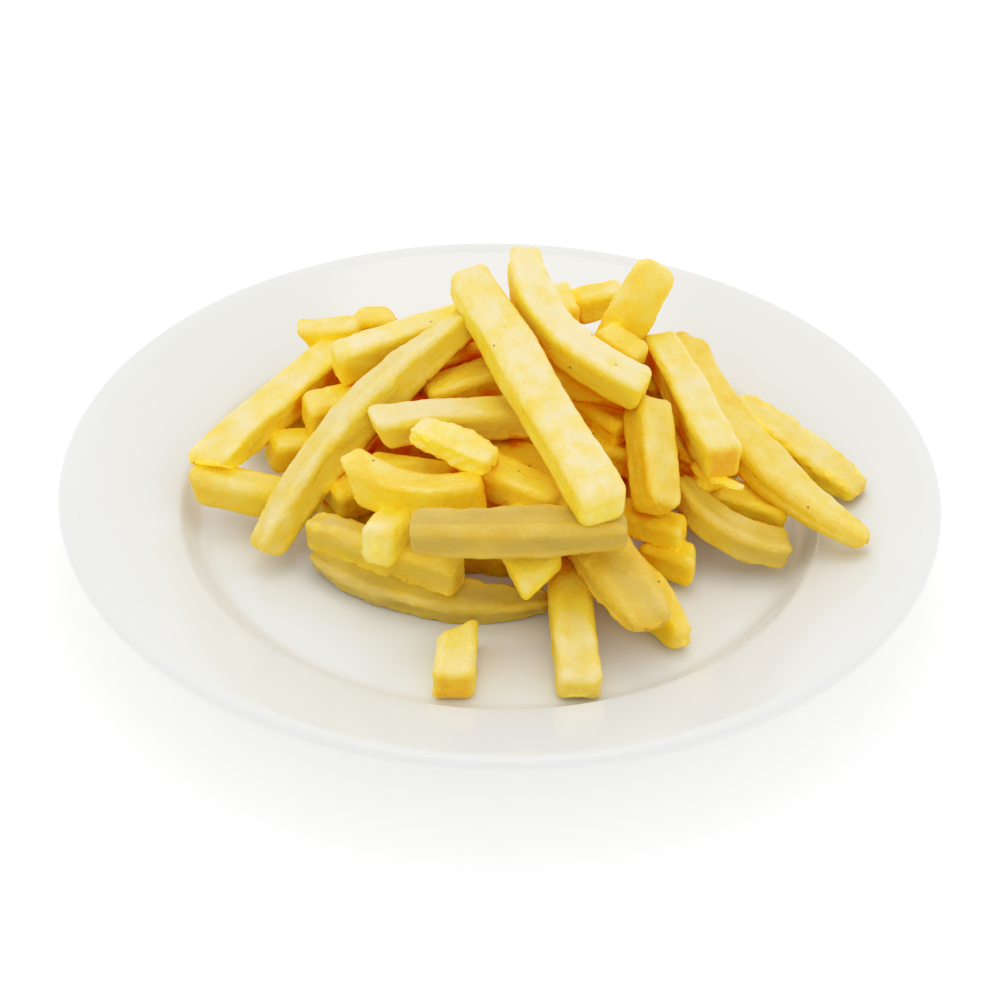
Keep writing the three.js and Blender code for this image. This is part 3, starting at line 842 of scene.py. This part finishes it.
def paint_shade_depth(pieces):
    """Writes to each point how little light reaches it, from 0 on top to 1 deep inside, as
    painted shade.
    """
    crowd = np.vstack([mesh_array(piece, "co") for piece in pieces]) * 1000
    low = crowd.min(axis=0) - SHADE_MARGIN * SHADE_CELL
    cells = ((crowd - low) / SHADE_CELL).astype(int)
    filled = np.zeros(cells.max(axis=0) + 1 + SHADE_MARGIN)
    filled[tuple(cells.T)] = 1
    for axis in range(3):
        filled = (np.roll(filled, 1, axis) + 2 * filled + np.roll(filled, -1, axis)) / 4
    last_cell = np.array(filled.shape) - 1
    for piece in pieces:
        points = mesh_array(piece, "co") * 1000
        normals = mesh_array(piece, "vector")
        light_reaching = np.zeros(len(points))
        for direction in even_directions(SHADE_DIRECTIONS):
            facing = np.clip(normals @ direction, 0, None)
            crowding = np.zeros(len(points))
            for step in np.arange(SHADE_START, SHADE_REACH, SHADE_CELL):
                at = (points + normals * SHADE_LIFT + direction * step - low) / SHADE_CELL
                at = np.clip(at.astype(int), 0, last_cell)
                crowding += filled[tuple(at.T)]
            upward = direction[2]
            given = 1 + LIGHT_FROM_ABOVE * upward if upward > 0 else LIGHT_FROM_BELOW
            light_reaching += facing * given * np.exp(-CROWDING * crowding)
        light_reaching /= SHADE_DIRECTIONS * OPEN_FACE_LIGHT
        # The depth is painted shade: the material deepens the crust to orange with it and takes
        # away sheen.
        set_attribute(piece, "depth", "FLOAT", np.clip(1 - light_reaching, 0, 1) ** DEPTH_CURVE)


paint_shade_depth([front, left, top, right, inside, far_side, core, loose])

# ---- Floor ----
# A plain matt white table top that the plate's foot ring stands on. It glows a little, as a
# stand-in for the light of the bright room round it.

FLOOR_SIZE = 6000
CLOUD_IN_TABLE = 300.0
TABLE_GLOW = 0.22


def white_table():
    """White laminate, matt, with a faint unevenness so that it isn't a flat colour."""
    material, tree, surface = new_material("white_table")
    place = add(tree, "TexCoord", {}).outputs["Object"]
    cloud = add(tree, "TexNoise", {"Vector": place, "Scale": 1000 / CLOUD_IN_TABLE, "Detail": 2})
    white = add(tree, "Mix", {
        "Factor": cloud.outputs["Fac"], "A": linear("#fdfdfd"), "B": linear("#ffffff"),
    }, data_type="RGBA")
    shader = add(tree, "BsdfPrincipled", {
        "Base Color": white.outputs["Result"], "Roughness": 0.9, "IOR": 1.3,
        "Emission Color": linear("#ffffff"), "Emission Strength": TABLE_GLOW,
    })
    tree.links.new(shader.outputs["BSDF"], surface)
    return material


half_side = FLOOR_SIZE / 2
floor = new_piece("table_top", [
    (-half_side, -half_side, 0), (half_side, -half_side, 0),
    (half_side, half_side, 0), (-half_side, half_side, 0),
], [(0, 1, 2, 3)])
floor.data.materials.append(white_table())

# ---- Light ----
# A soft box hangs over the plate, a little behind it. The white room round it is brighter
# behind the plate than on the diner's side.

SOFT_BOX_SIZE = 0.36  # in metres, as its place is
SOFT_BOX_POWER = 1.0
SOFT_BOX_PLACE = (0, 0.22, 0.9)
SOFT_BOX_LEAN = -13  # degrees, towards the plate
ROOM_BACK = 1.19
ROOM_FRONT = 0.87

room = bpy.data.worlds.new("white_room")
room.use_nodes = True
towards = add(room.node_tree, "TexCoord", {}).outputs["Generated"]
front_to_back = add(room.node_tree, "SeparateXYZ", {"Vector": towards}).outputs["Y"]
wall_light = add(room.node_tree, "MapRange", {
    "Value": front_to_back, "From Min": -1.0, "From Max": 0.1,
    "To Min": ROOM_FRONT, "To Max": ROOM_BACK,
})
background = room.node_tree.nodes["Background"]
background.inputs["Color"].default_value = linear("#ffffff")
room.node_tree.links.new(wall_light.outputs["Result"], background.inputs["Strength"])
bpy.context.scene.world = room

soft_box = bpy.data.objects.new("soft_box", bpy.data.lights.new("soft_box", "AREA"))
soft_box.data.size = SOFT_BOX_SIZE
soft_box.data.energy = SOFT_BOX_POWER
soft_box.location = SOFT_BOX_PLACE
soft_box.rotation_euler = (math.radians(SOFT_BOX_LEAN), 0, 0)
bpy.context.scene.collection.objects.link(soft_box)

# ---- Camera ----
# It looks down on the plate from the diner's side, half a metre from the rim's middle.

CAMERA_DISTANCE = 0.5  # in metres
CAMERA_ELEVATION = 35.45  # degrees, as the tilt and the roll are
CAMERA_TILT = -1.49
CAMERA_ROLL = 1.23
CAMERA_LENS = 65.2
SENSOR = 36.0

elevation = math.radians(CAMERA_ELEVATION)
camera_place = (
    0,
    -CAMERA_DISTANCE * math.cos(elevation),
    PLATE_HEIGHT / 1000 + CAMERA_DISTANCE * math.sin(elevation),
)
camera = bpy.data.objects.new("camera", bpy.data.cameras.new("camera"))
camera.data.sensor_width = SENSOR
camera.data.lens = CAMERA_LENS
camera.matrix_world = (
    Matrix.Translation(camera_place)
    @ Matrix.Rotation(math.radians(90 - CAMERA_ELEVATION + CAMERA_TILT), 4, "X")
    @ Matrix.Rotation(math.radians(CAMERA_ROLL), 4, "Z")
)
bpy.context.scene.collection.objects.link(camera)
bpy.context.scene.camera = camera

# The camera's response: it follows the light up to a bright tone and then bends gently to
# white, so that the lit tops of the fries keep their cream colour.
RESPONSE = [(0.6, 0.6), (0.8, 0.755), (1.0, 0.87), (1.15, 0.94)]  # light, and how it shows
WHITE_LIGHT = 1.3

view = bpy.context.scene.view_settings
view.view_transform = "Standard"
view.use_curve_mapping = True
view.curve_mapping.white_level = (WHITE_LIGHT, WHITE_LIGHT, WHITE_LIGHT)
response = view.curve_mapping.curves[3]
for light, shown in RESPONSE:
    response.points.new(light / WHITE_LIGHT, shown)
view.curve_mapping.update()
